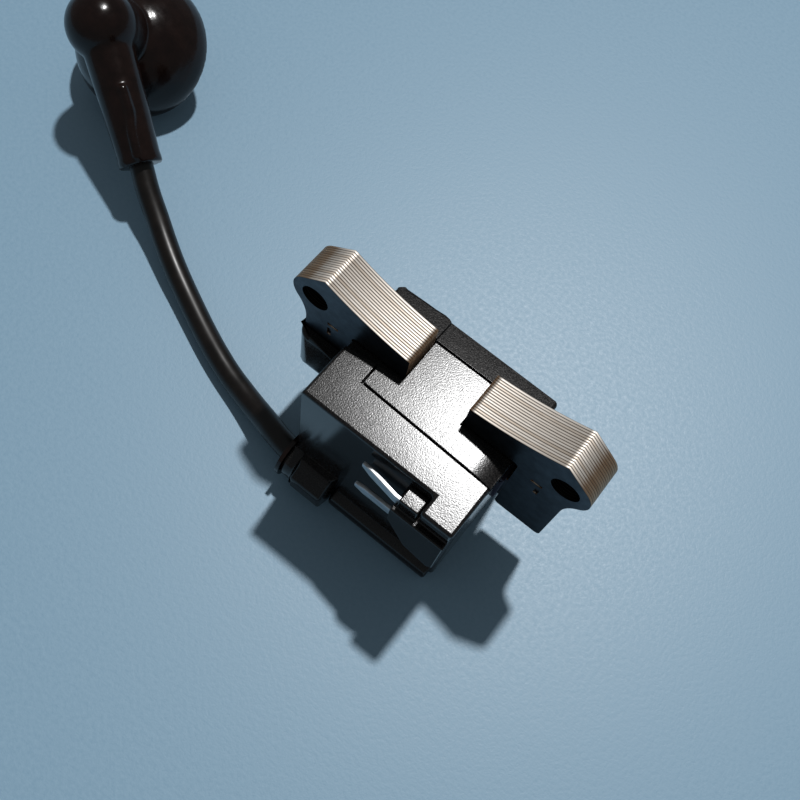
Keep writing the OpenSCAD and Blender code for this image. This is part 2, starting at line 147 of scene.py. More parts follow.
def angle_of(centre: Point2, point: Point2) -> float:
    """Angle of a point seen from a centre.

    Args:
        centre: Where it is seen from.
        point: The point looked at.

    Returns:
        The angle in degrees, counted from the first axis.
    """
    return math.degrees(math.atan2(point[1] - centre[1], point[0] - centre[0]))


def link(obj: bpy.types.Object) -> bpy.types.Object:
    """Puts an object in the scene.

    Args:
        obj: The new object.

    Returns:
        The same object.
    """
    bpy.context.scene.collection.objects.link(obj)
    return obj


def new_piece(name: str, shape: bmesh.types.BMesh) -> bpy.types.Object:
    """Makes an object from a finished bmesh and frees the bmesh.

    Args:
        name: Name of the object and of its mesh.
        shape: The geometry, in metres in the row frame.

    Returns:
        The new object, linked to the scene.
    """
    mesh = bpy.data.meshes.new(name)
    shape.to_mesh(mesh)
    shape.free()
    return link(bpy.data.objects.new(name, mesh))


def settle(piece: bpy.types.Object, material: bpy.types.Material, slot: str, *nodes: str) -> bpy.types.Object:
    """Gives a piece its material and its body, and hides the CAD nodes that it stands for.

    Args:
        piece: A finished piece in its place.
        material: The material for its first slot.
        slot: The record's material slot; not used.
        *nodes: CAD nodes that the piece replaces.

    Returns:
        The same piece.
    """
    piece.data.materials.clear()
    piece.data.materials.append(material)
    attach(piece, ROOT)
    if nodes:
        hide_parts(*nodes)
    LOG.info("piece %s", piece.name)
    return piece


def smooth_by_angle(piece: bpy.types.Object, degrees: float = 30) -> None:
    """Shades a piece smooth, except along edges sharper than an angle.

    Args:
        piece: The piece to shade.
        degrees: Edges sharper than this stay sharp.
    """
    mesh = piece.data
    mesh.shade_smooth()
    shape = bmesh.new()
    shape.from_mesh(mesh)
    limit = math.radians(degrees)
    for edge in shape.edges:
        edge.smooth = len(edge.link_faces) == 2 and edge.calc_face_angle(0) < limit
    shape.to_mesh(mesh)
    shape.free()


def anywhere(spot: Vector) -> bool:
    """Picks every edge.

    Args:
        spot: Middle of an edge in millimetres; not used.

    Returns:
        Always True.
    """
    return True


def soften(
    piece: bpy.types.Object, width: float, segments: int = 3, degrees: float = 35,
    where: Callable[[Vector], bool] = anywhere,
) -> None:
    """Rounds a piece's sharp edges as a mould or a die leaves them.

    An edge is left sharp where the faces beside it are too narrow for the rounding.

    Args:
        piece: The piece to round.
        width: Edge width in millimetres.
        segments: Number of strips across a rounded edge.
        degrees: Edges flatter than this stay as they are.
        where: Says from an edge's middle, in millimetres, whether this edge is rounded.
    """
    room = width * MM * 1.6
    carries_on = -0.8
    shape = bmesh.new()
    shape.from_mesh(piece.data)

    def sharp(edge: bmesh.types.BMEdge) -> bool:
        """Tells whether an edge is sharp and picked.

        Args:
            edge: The edge to judge.

        Returns:
            True when it should be rounded if there is room.
        """
        middle = (edge.verts[0].co + edge.verts[1].co) / 2 / MM
        return len(edge.link_faces) == 2 and edge.calc_face_angle(0) > math.radians(degrees) and where(middle)

    def has_room(edge: bmesh.types.BMEdge) -> bool:
        """Tells whether no short edge beside this one is in the way.

        Args:
            edge: The edge to judge.

        Returns:
            True when the rounding fits at both ends.
        """
        for vert in edge.verts:
            way = (edge.other_vert(vert).co - vert.co).normalized()
            for other in vert.link_edges:
                turned = way.dot((other.other_vert(vert).co - vert.co).normalized())
                if other is not edge and turned > carries_on and other.calc_length() < room:
                    return False
        return True

    edges = [edge for edge in shape.edges if sharp(edge) and has_room(edge)]
    bmesh.ops.bevel(
        shape, geom=edges, offset=width * MM, offset_type="OFFSET", segments=segments, profile=0.5,
        affect="EDGES", clamp_overlap=False,
    )
    # Neighbours in one plane become one face again.
    bmesh.ops.dissolve_limit(shape, angle_limit=math.radians(0.6), verts=shape.verts[:], edges=shape.edges[:])
    shape.to_mesh(piece.data)
    shape.free()


def shade(piece: bpy.types.Object, degrees: float = 48) -> None:
    """Shades a piece smooth with flat faces kept flat, and edges over an angle kept sharp.

    Args:
        piece: The piece to shade.
        degrees: Edges sharper than this stay sharp.
    """
    smooth_by_angle(piece, degrees)
    flat = piece.modifiers.new("flat_faces", "WEIGHTED_NORMAL")
    flat.weight = 100
    flat.keep_sharp = True


def bake(piece: bpy.types.Object) -> None:
    """Applies every modifier of a piece to its mesh.

    Args:
        piece: The piece whose evaluated mesh becomes its own.
    """
    bpy.context.view_layer.update()
    solid = piece.evaluated_get(bpy.context.evaluated_depsgraph_get())
    mesh = bpy.data.meshes.new_from_object(solid)
    piece.modifiers.clear()
    old = piece.data
    piece.data = mesh
    bpy.data.meshes.remove(old)
    mesh.name = piece.name


def lathe(
    shape: bmesh.types.BMesh, profile: Sequence[Point2], base: Vector, way: Vector, sides: int = 64
) -> None:
    """Adds a closed turned body to a bmesh.

    Args:
        shape: The bmesh to add to.
        profile: Radius and distance from the base in millimetres; it starts and ends on the axis.
        base: Where the axis starts, in millimetres.
        way: Direction of the axis.
        sides: Number of steps round the axis.
    """
    turn = Vector((0, 0, 1)).rotation_difference(way.normalized()).to_matrix()
    rings = []
    for radius, height in profile:
        count = 1 if radius < 1e-6 else sides
        ring = []
        for k in range(count):
            angle = 2 * math.pi * k / sides
            spot = Vector((radius * math.cos(angle), radius * math.sin(angle), height))
            ring.append(shape.verts.new((base + turn @ spot) * MM))
        rings.append(ring)
    for low, high in zip(rings, rings[1:]):
        for k in range(sides):
            n = (k + 1) % sides
            corners = [low[k % len(low)], low[n % len(low)], high[n % len(high)], high[k % len(high)]]
            unique = list(dict.fromkeys(corners))
            if len(unique) > 2:
                shape.faces.new(unique)


def wound_square(
    name: str, span: Point2, half: float, wire: float, middle: Point2, rows: Sequence[Point2] | None = None
) -> bpy.types.Object:
    """Winds wire in close turns round a square tube that lies along X.

    Args:
        name: Name of the piece.
        span: First and last X of the winding in millimetres.
        half: Half side of the winding's outside.
        wire: Diameter of the wire.
        middle: Y and Z of the tube's middle line.
        rows: Separate stretches of X, when walls divide the winding; otherwise all of span.

    Returns:
        The winding as one piece.
    """
    shape = bmesh.new()
    corner = wire * 1.6
    reach = half - wire / 2
    path = []
    for quarter, (sy, sz) in enumerate(((1, 1), (-1, 1), (-1, -1), (1, -1))):
        centre = (sy * (reach - corner), sz * (reach - corner))
        path += arc(centre, corner, 90 * quarter, 90 * quarter + 90, 3)
    for low, high in rows or [span]:
        turns = max(1, int((high - low) / wire))
        pitch = (high - low) / turns
        for turn in range(turns):
            rings = []
            for i, (y, z) in enumerate(path):
                before, after = path[i - 1], path[(i + 1) % len(path)]
                along = Vector((0, after[0] - before[0], after[1] - before[1])).normalized()
                out = Vector((0, along.z, -along.y))
                centre = Vector((low + (turn + 0.5) * pitch, middle[0] + y, middle[1] + z))
                ring = []
                for k in range(6):
                    a = math.radians(60 * k)
                    spoke = (Vector((math.cos(a), 0, 0)) + out * math.sin(a)) * wire / 2
                    ring.append(shape.verts.new((centre + spoke) * MM))
                rings.append(ring)
            for i, ring in enumerate(rings):
                following = rings[(i + 1) % len(rings)]
                for k in range(6):
                    shape.faces.new((ring[k], ring[(k + 1) % 6], following[(k + 1) % 6], following[k]))
    bmesh.ops.recalc_face_normals(shape, faces=shape.faces)
    piece = new_piece(name, shape)
    piece.data.shade_smooth()
    return piece


def welded_copy(node: bpy.types.Object, name: str) -> bpy.types.Object:
    """Copies a CAD node's mesh with its doubled points merged and its flat faces made whole.

    Args:
        node: The CAD node's object.
        name: Name of the copy.

    Returns:
        The new object; the CAD node isn't touched.
    """
    weld = 0.002 * MM
    shape = bmesh.new()
    shape.from_mesh(node.data)
    bmesh.ops.remove_doubles(shape, verts=shape.verts, dist=weld)
    bmesh.ops.dissolve_limit(
        shape, angle_limit=math.radians(1), verts=shape.verts, edges=shape.edges, delimit=set()
    )
    bmesh.ops.recalc_face_normals(shape, faces=shape.faces)
    return new_piece(name, shape)


# ---------------------------------------------------------------- finishes


@dataclass(frozen=True)
class Finish:
    """What every finish has: a name and a Principled shader on millimetre coordinates."""

    name: str = "finish"

    def start(self) -> tuple[bpy.types.Material, bpy.types.NodeTree, bpy.types.Node, bpy.types.Node]:
        """Makes the empty material.

        Returns:
            The material, its tree, its Principled node and a node that gives places in millimetres.
        """
        material = bpy.data.materials.new(self.name)
        material.use_nodes = True
        tree = material.node_tree
        shader = tree.nodes["Principled BSDF"]
        place = add_node(tree, "ShaderNodeTexCoord")
        scaled = add_node(
            tree, "ShaderNodeVectorMath", {"operation": "SCALE", "Scale": 1 / MM},
            {0: place.outputs["Object"]},
        )
        return material, tree, shader, scaled

    def build(self) -> bpy.types.Material:
        """Makes the material; each finish has its own way.

        Returns:
            The finished material.
        """
        raise NotImplementedError


def ramp(
    tree: bpy.types.NodeTree, source: bpy.types.NodeSocket, stops: Sequence[tuple[float, str]]
) -> bpy.types.Node:
    """Adds a colour ramp with the given stops.

    Args:
        tree: The node tree.
        source: The value that drives the ramp.
        stops: Position and sRGB hex colour of each stop.

    Returns:
        The ramp node.
    """
    node = add_node(tree, "ShaderNodeValToRGB", {}, {"Fac": source})
    elements = node.color_ramp.elements
    while len(elements) < len(stops):
        elements.new(0.5)
    for element, (position, colour) in zip(elements, stops):
        element.position = position
        element.color = linear(colour)
    return node


@dataclass(frozen=True)
class MouldedCasePlastic(Finish):
    """Black glass-filled PBT: top moulded against a spark-eroded tool, side walls against polished steel.

    The eye gets a fine sparkling grain and a broad soft highlight on top, and smooth dark walls that
    faintly mirror the floor.
    """

    name: str = "pbt_black_injection_moulded"
    colour: str = "#0b0a0b"
    bloom: str = "#2a2726"
    grain_mm: float = 0.26
    flow_mm: float = 3.5
    top_roughness: float = 0.2
    wall_roughness: float = 0.13

    def build(self) -> bpy.types.Material:
        """Makes the material.

        Returns:
            The finished material.
        """
        material, tree, shader, place = self.start()
        # The grain is drawn coarser than a real mould leaves it, so that it shows.
        grain = add_node(
            tree, "ShaderNodeTexNoise", {"Scale": 1 / self.grain_mm, "Detail": 2.0, "Roughness": 0.6},
            {"Vector": place.outputs[0]},
        )
        flow = add_node(
            tree, "ShaderNodeTexNoise", {"Scale": 1 / self.flow_mm, "Detail": 4.0, "Distortion": 0.6},
            {"Vector": place.outputs[0]},
        )
        tone = ramp(tree, grain.outputs["Fac"], [(0.4, self.colour), (0.65, self.bloom)])
        geometry = add_node(tree, "ShaderNodeNewGeometry")
        facing = add_node(tree, "ShaderNodeSeparateXYZ", {}, {0: geometry.outputs["Normal"]})
        top = add_node(
            tree, "ShaderNodeMapRange", {"From Min": 0.55, "From Max": 0.9}, {"Value": facing.outputs["Z"]}
        )
        rough_grain = add_node(
            tree, "ShaderNodeMapRange",
            {"From Min": 0.3, "From Max": 0.7, "To Min": self.top_roughness - 0.04,
             "To Max": self.top_roughness + 0.05},
            {"Value": grain.outputs["Fac"]},
        )
        rough = add_node(
            tree, "ShaderNodeMix", {"A": self.wall_roughness},
            {"Factor": top.outputs[0], "B": rough_grain.outputs[0]},
        )
        depth = add_node(
            tree, "ShaderNodeMapRange", {"To Min": 0.02, "To Max": 0.4}, {"Value": top.outputs[0]}
        )
        # Sink waves of the mould under the grain.
        waves = add_node(
            tree, "ShaderNodeBump", {"Distance": 0.05 * MM, "Strength": 0.2}, {"Height": flow.outputs["Fac"]}
        )
        bump = add_node(
            tree, "ShaderNodeBump", {"Distance": 0.045 * MM},
            {"Height": grain.outputs["Fac"], "Strength": depth.outputs[0], "Normal": waves.outputs["Normal"]},
        )
        tree.links.new(tone.outputs["Color"], shader.inputs["Base Color"])
        tree.links.new(rough.outputs[0], shader.inputs["Roughness"])
        tree.links.new(bump.outputs["Normal"], shader.inputs["Normal"])
        shader.inputs["IOR"].default_value = 1.46
        return material


@dataclass(frozen=True)
class LaminatedSteel(Finish):
    """Silicon steel sheets, blanked and stacked: dark coated faces, bare sheared edges.

    The eye gets blue-grey semi-gloss faces, and pole faces striped cream and brown, one stripe per sheet.
    """

    name: str = "silicon_steel_stamped_stack"
    sheet_mm: float = 0.5
    stack_start_mm: float = 2.6
    face: str = "#4f565e"
    face_deep: str = "#383d44"
    edge_light: str = "#f4ebe1"
    edge_mid: str = "#eadfd3"
    edge_dark: str = "#dccdbd"
    gap: str = "#4a3d33"
    # Painted shade inside the bolt holes.
    hole_shade: str = "#1c1917"
    # Painted shade: a brown darkening multiplied onto the slanting outer facets.
    facet_shade: str = "#c6ab92"
    face_roughness: float = 0.3
    edge_roughness: float = 0.42
    bolt_mm: Point2 = (26.1, 42.5)
    # Reach of the painted shade round each bolt hole's middle.
    hole_shade_r_mm: float = 3.0
    shear_stretch: Point3 = (0.35, 3.0, 0.35)
    shear_per_mm: float = 1.6
    coat_per_mm: float = 0.55

    def build(self) -> bpy.types.Material:
        """Makes the material.

        Returns:
            The finished material.
        """
        material, tree, shader, place = self.start()
        geometry = add_node(tree, "ShaderNodeNewGeometry")
        facing = add_node(tree, "ShaderNodeSeparateXYZ", {}, {0: geometry.outputs["Normal"]})
        across = add_node(tree, "ShaderNodeMath", {"operation": "ABSOLUTE"}, {0: facing.outputs["Y"]})
        is_face = add_node(
            tree, "ShaderNodeMapRange", {"From Min": 0.6, "From Max": 0.85}, {"Value": across.outputs[0]}
        )
        where = add_node(tree, "ShaderNodeSeparateXYZ", {}, {0: place.outputs[0]})
        sheet = add_node(
            tree, "ShaderNodeMath", {"operation": "SUBTRACT", 1: self.stack_start_mm}, {0: where.outputs["Y"]}
        )
        counted = add_node(
            tree, "ShaderNodeMath", {"operation": "DIVIDE", 1: self.sheet_mm}, {0: sheet.outputs[0]}
        )
        index = add_node(tree, "ShaderNodeMath", {"operation": "FLOOR"}, {0: counted.outputs[0]})
        shade = add_node(
            tree, "ShaderNodeTexWhiteNoise", {"noise_dimensions": "1D"}, {"W": index.outputs[0]}
        )
        # Shear marks run across each sheet's edge, stretched along the cut.
        stretched = add_node(
            tree, "ShaderNodeVectorMath", {"operation": "MULTIPLY", 1: self.shear_stretch},
            {0: place.outputs[0]},
        )
        shear = add_node(
            tree, "ShaderNodeTexNoise", {"Scale": self.shear_per_mm, "Detail": 5.0, "Roughness": 0.6},
            {"Vector": stretched.outputs[0]},
        )
        mixed = add_node(
            tree, "ShaderNodeMix", {"Factor": 0.45}, {"A": shade.outputs["Value"], "B": shear.outputs["Fac"]}
        )
        bright = ramp(
            tree, mixed.outputs[0], [(0.2, self.edge_dark), (0.48, self.edge_mid), (0.75, self.edge_light)]
        )
        # A dark line where two sheets meet: how far the point is from the nearest joint, in sheets.
        joint = add_node(tree, "ShaderNodeMath", {"operation": "PINGPONG", 1: 0.5}, {0: counted.outputs[0]})
        line = add_node(
            tree, "ShaderNodeMapRange", {"From Min": 0.05, "From Max": 0.14, "To Min": 0.72, "To Max": 0.0},
            {"Value": joint.outputs[0]},
        )
        edge = add_node(
            tree, "ShaderNodeMix", {"data_type": "RGBA", 7: linear(self.gap)},
            {"Factor": line.outputs[0], 6: bright.outputs["Color"]},
        )
        # The slanting outer facets are painted darker and browner by their slope, a painted shade; the pole
        # faces are ground bright.
        slant = add_node(
            tree, "ShaderNodeMapRange", {"From Min": 0.82, "From Max": 0.89, "To Min": 1.0, "To Max": 0.0},
            {"Value": facing.outputs["Z"]},
        )
        facet_shaded = add_node(
            tree, "ShaderNodeMix", {"data_type": "RGBA", "blend_type": "MULTIPLY", 7: linear(self.facet_shade)},
            {"Factor": slant.outputs[0], 6: edge.outputs[2]},
        )
        # The bolt holes get a painted shade: near a hole's middle the bare edge takes the dark shade colour.
        aside = add_node(tree, "ShaderNodeMath", {"operation": "ABSOLUTE"}, {0: where.outputs["X"]})
        flat = add_node(tree, "ShaderNodeCombineXYZ", {}, {"X": aside.outputs[0], "Z": where.outputs["Z"]})
        hole = (self.bolt_mm[0], 0.0, self.bolt_mm[1])
        from_hole = add_node(
            tree, "ShaderNodeVectorMath", {"operation": "DISTANCE", 1: hole}, {0: flat.outputs[0]}
        )
        in_hole = add_node(
            tree, "ShaderNodeMath", {"operation": "LESS_THAN", 1: self.hole_shade_r_mm},
            {0: from_hole.outputs["Value"]},
        )
        hole_shaded = add_node(
            tree, "ShaderNodeMix", {"data_type": "RGBA", 7: linear(self.hole_shade)},
            {"Factor": in_hole.outputs[0], 6: facet_shaded.outputs[2]},
        )
        coat_noise = add_node(
            tree, "ShaderNodeTexNoise", {"Scale": self.coat_per_mm, "Detail": 5.0, "Roughness": 0.55},
            {"Vector": place.outputs[0]},
        )
        coat = ramp(tree, coat_noise.outputs["Fac"], [(0.3, self.face_deep), (0.7, self.face)])
        colour = add_node(
            tree, "ShaderNodeMix", {"data_type": "RGBA"},
            {"Factor": is_face.outputs[0], 6: hole_shaded.outputs[2], 7: coat.outputs["Color"]},
        )
        rough_base = add_node(
            tree, "ShaderNodeMix", {"A": self.edge_roughness, "B": self.face_roughness},
            {"Factor": is_face.outputs[0]},
        )
        rough = add_node(
            tree, "ShaderNodeMath", {"operation": "MULTIPLY_ADD", 1: 0.14},
            {0: shear.outputs["Fac"], 2: rough_base.outputs[0]},
        )
        bump = add_node(
            tree, "ShaderNodeBump", {"Distance": 0.02 * MM, "Strength": 0.35},
            {"Height": shear.outputs["Fac"]},
        )
        tree.links.new(colour.outputs[2], shader.inputs["Base Color"])
        tree.links.new(rough.outputs[0], shader.inputs["Roughness"])
        tree.links.new(bump.outputs["Normal"], shader.inputs["Normal"])
        shader.inputs["Metallic"].default_value = 0.92
        return material


@dataclass(frozen=True)
class MottledFinish(Finish):
    """A finish whose tone, gloss and relief all follow one noise; most small parts are this kind."""

    dark: str = "#202020"
    light: str = "#303030"
    spot_mm: float = 2.0
    stretch: Point3 = (1.0, 1.0, 1.0)
    roughness: float = 0.4
    roughness_swing: float = 0.12
    relief_mm: float = 0.02
    relief: float = 0.3
    metallic: float = 0.0
    ior: float | None = 1.5
    detail: float = 5.0

    def build(self) -> bpy.types.Material:
        """Makes the material.

        Returns:
            The finished material.
        """
        material, tree, shader, place = self.start()
        scaled = add_node(
            tree, "ShaderNodeVectorMath", {"operation": "MULTIPLY", 1: self.stretch}, {0: place.outputs[0]}
        )
        spots = add_node(
            tree, "ShaderNodeTexNoise", {"Scale": 1 / self.spot_mm, "Detail": self.detail, "Roughness": 0.6},
            {"Vector": scaled.outputs[0]},
        )
        tone = ramp(tree, spots.outputs["Fac"], [(0.32, self.dark), (0.7, self.light)])
        rough = add_node(
            tree, "ShaderNodeMapRange",
            {"From Min": 0.3, "From Max": 0.7, "To Min": self.roughness - self.roughness_swing / 2,
             "To Max": self.roughness + self.roughness_swing / 2},
            {"Value": spots.outputs["Fac"]},
        )
        bump = add_node(
            tree, "ShaderNodeBump", {"Distance": self.relief_mm * MM, "Strength": self.relief},
            {"Height": spots.outputs["Fac"]},
        )
        tree.links.new(tone.outputs["Color"], shader.inputs["Base Color"])
        tree.links.new(rough.outputs[0], shader.inputs["Roughness"])
        tree.links.new(bump.outputs["Normal"], shader.inputs["Normal"])
        shader.inputs["Metallic"].default_value = self.metallic
        if self.ior is not None:
            shader.inputs["IOR"].default_value = self.ior
        return material


# Each entry says what the real surface is and what that gives the eye.
FINISHES: dict[str, Finish] = {
    # Black injection-moulded case: grained top, polished walls.
    "moulded_case": MouldedCasePlastic(),
    # Stamped silicon steel: dark faces, striped bright edges.
    "lamination_steel": LaminatedSteel(),
    # Epoxy poured into the case: glossy, self-levelled, slightly cloudy brown-black.
    "potting_resin": MottledFinish(
        "epoxy_poured_black_brown", dark="#17110e", light="#2a211b", spot_mm=4.0, roughness=0.18,
        roughness_swing=0.16, relief_mm=0.25, relief=0.25, ior=1.55,
    ),
    # Brass blades with electroplated tin: bright, soft grey reflections with faint rolling lines.
    "tinned_brass": MottledFinish(
        "brass_tin_electroplated", dark="#b9bcc2", light="#e6e8ea", spot_mm=0.8, stretch=(0.25, 1.0, 2.5),
        roughness=0.4, roughness_swing=0.12, relief_mm=0.012, relief=0.4, metallic=1.0, ior=None,
    ),
    # Glass-filled polyester bobbin: dull dark violet.
    "bobbin_plastic": MottledFinish(
        "polyester_glass_filled_moulded", dark="#261f30", light="#3b3149", spot_mm=1.5, roughness=0.45,
    ),
    # Enamelled copper wire: fine bands along the turns, warm gloss.
    "copper_wire": MottledFinish(
        "copper_wire_enamelled_wound", dark="#7c3414", light="#c26a30", spot_mm=0.35, stretch=(4.0, 0.4, 0.4),
        roughness=0.3, relief_mm=0.05, relief=0.8, metallic=1.0, ior=None,
    ),
    # Glass-epoxy board with a green mask: weave shows faintly through the gloss.
    "board_laminate": MottledFinish(
        "fr4_green_solder_mask", dark="#1f4a2d", light="#2f6a42", spot_mm=0.6, roughness=0.3, ior=1.55,
    ),
    # Transfer-moulded epoxy of the small components: flat black-grey.
    "component_epoxy": MottledFinish(
        "epoxy_transfer_moulded", dark="#1d1d1f", light="#333335", spot_mm=0.5, roughness=0.55, ior=1.55,
    ),
    # Rolled brass strip: warm yellow metal with rolling lines.
    "brass_strip": MottledFinish(
        "brass_rolled_strip", dark="#8d6c34", light="#c9a45c", spot_mm=0.9, stretch=(0.3, 1.0, 2.0),
        roughness=0.32, relief_mm=0.012, metallic=1.0, ior=None,
    ),
    # Compression-moulded EPDM: brown-black rubber, glossy from the mould, with a faint bloom.
    "moulded_rubber": MottledFinish(
        "epdm_compression_moulded", dark="#120806", light="#1f110d", spot_mm=3.0, roughness=0.19,
        roughness_swing=0.1, relief_mm=0.14, relief=0.4, ior=1.42,
    ),
    # Extruded cable jacket: near black, glossy, with long soft draw lines.
    "lead_jacket": MottledFinish(
        "pvc_extruded_jacket", dark="#0c0806", light="#17100c", spot_mm=3.0, roughness=0.34,
        roughness_swing=0.08, relief_mm=0.04, relief=0.2, ior=1.48,
    ),
    # Zinc-plated spring steel: cool bright metal.
    "spring_steel": MottledFinish(
        "spring_steel_zinc_plated", dark="#8e9297", light="#c2c6ca", spot_mm=0.8, roughness=0.28,
        metallic=1.0, ior=None,
    ),
}


@dataclass(frozen=True)
class PaintedPaperFloor(Finish):
    """Coated pale blue paper: matt, with a faint fibre speckle."""

    name: str = "paper_coated_pale_blue"
    colour: str = "#8cb1ca"
    fleck: str = "#95b9d1"
    fleck_mm: float = 0.9
    roughness: float = 0.45
    ior: float = 1.6

    def build(self) -> bpy.types.Material:
        """Makes the material.

        Returns:
            The finished material.
        """
        material, tree, shader, place = self.start()
        fibre = add_node(
            tree, "ShaderNodeTexNoise", {"Scale": 1 / self.fleck_mm, "Detail": 4.0, "Roughness": 0.7},
            {"Vector": place.outputs[0]},
        )
        tone = ramp(tree, fibre.outputs["Fac"], [(0.3, self.colour), (0.75, self.fleck)])
        bump = add_node(
            tree, "ShaderNodeBump", {"Distance": 0.09 * MM, "Strength": 0.45},
            {"Height": fibre.outputs["Fac"]},
        )
        gloss = add_node(
            tree, "ShaderNodeMapRange",
            {"From Min": 0.3, "From Max": 0.7, "To Min": self.roughness - 0.07,
             "To Max": self.roughness + 0.07},
            {"Value": fibre.outputs["Fac"]},
        )
        tree.links.new(tone.outputs["Color"], shader.inputs["Base Color"])
        tree.links.new(gloss.outputs[0], shader.inputs["Roughness"])
        tree.links.new(bump.outputs["Normal"], shader.inputs["Normal"])
        shader.inputs["IOR"].default_value = self.ior
        return material


class MaterialShelf:
    """Builds each finish once and hands out the material."""

    def __init__(self) -> None:
        """Starts with nothing built."""
        self._built: dict[str, bpy.types.Material] = {}

    def get(self, slot: str) -> bpy.types.Material:
        """The material of one of the record's slots.

        Args:
            slot: Name of the slot.

        Returns:
            The material, built on first use.
        """
        if slot not in self._built:
            self._built[slot] = FINISHES[slot].build()
        return self._built[slot]


# ---------------------------------------------------------------- sub-assemblies


@dataclass
class View:
    """Camera and its lens."""

    position_mm: Point3 = (20.76, -61.36, 192.53)
    look: Point3 = (-0.1506, 0.3610, -0.9203)
    up: Point3 = (-0.6056, 0.7021, 0.3746)
    lens_mm: float = 45.0
    sensor_mm: float = 36.0

    def build(self) -> bpy.types.Object:
        """Makes the camera and sets it as the scene's.

        Returns:
            The camera object.
        """
        data = bpy.data.cameras.new("view_camera")
        data.lens = self.lens_mm
        data.sensor_width = self.sensor_mm
        data.clip_start = 0.005
        data.clip_end = 20
        camera = link(bpy.data.objects.new("view_camera", data))
        back = -Vector(self.look).normalized()
        right = Vector(self.up).cross(back).normalized()
        up = back.cross(right)
        turn = Matrix((right, up, back)).transposed().to_4x4()
        camera.matrix_world = Matrix.Translation(Vector(self.position_mm) * MM) @ turn
        bpy.context.scene.camera = camera
        return camera


@dataclass
class HighTensionLead:
    """Free lead between the case's outlet and the plug cap."""

    diameter_mm: float = 5.0
    exit_mm: Point3 = (-19.2, -10.7, 6.8)
    # Whole length, with the ends held in the outlet and in the cap.
    length_mm: float = 95.9
    # The same route as the CAD lead's.
    route_mm: Sequence[Point3] = (
        (-11.5, -10.7, 6.8), (-15.5, -10.7, 6.8), (-20, -10.7, 6.8), (-24, -9.9, 6.1), (-28, -8.7, 4.8),
        (-32, -7.6, 3.6), (-36, -6.5, 2.9), (-40, -5.4, 2.6), (-45, -3.7, 2.6), (-50, -1.7, 2.6),
        (-55, 0.5, 2.8), (-60, 2.8, 3.2), (-65, 5.2, 4), (-70, 7.9, 5.1), (-74.5, 10.5, 6.6),
        (-79, 13, 8.7), (-83.3, 15.8, 11.2), (-87.43, 18.42, 13.7), (-91.55, 21.03, 16.2),
        (-95.68, 23.65, 18.7),
    )

    def build(self, shelf: MaterialShelf) -> bpy.types.Object:
        """Makes the lead as one smooth curve through the route.

        Args:
            shelf: Where the material comes from.

        Returns:
            The lead's object.
        """
        data = bpy.data.curves.new("ht_lead_jacket", "CURVE")
        data.dimensions = "3D"
        data.bevel_depth = self.diameter_mm / 2 * MM
        data.bevel_resolution = 8
        data.resolution_u = 10
        data.use_fill_caps = True
        spline = data.splines.new("BEZIER")
        spline.bezier_points.add(len(self.route_mm) - 1)
        for point, place in zip(spline.bezier_points, self.route_mm):
            point.co = Vector(place) * MM
            point.handle_left_type = "AUTO"
            point.handle_right_type = "AUTO"
        lead = link(bpy.data.objects.new("ht_lead_jacket", data))
        return settle(lead, shelf.get("lead_jacket"), "lead_jacket", "ht_lead")


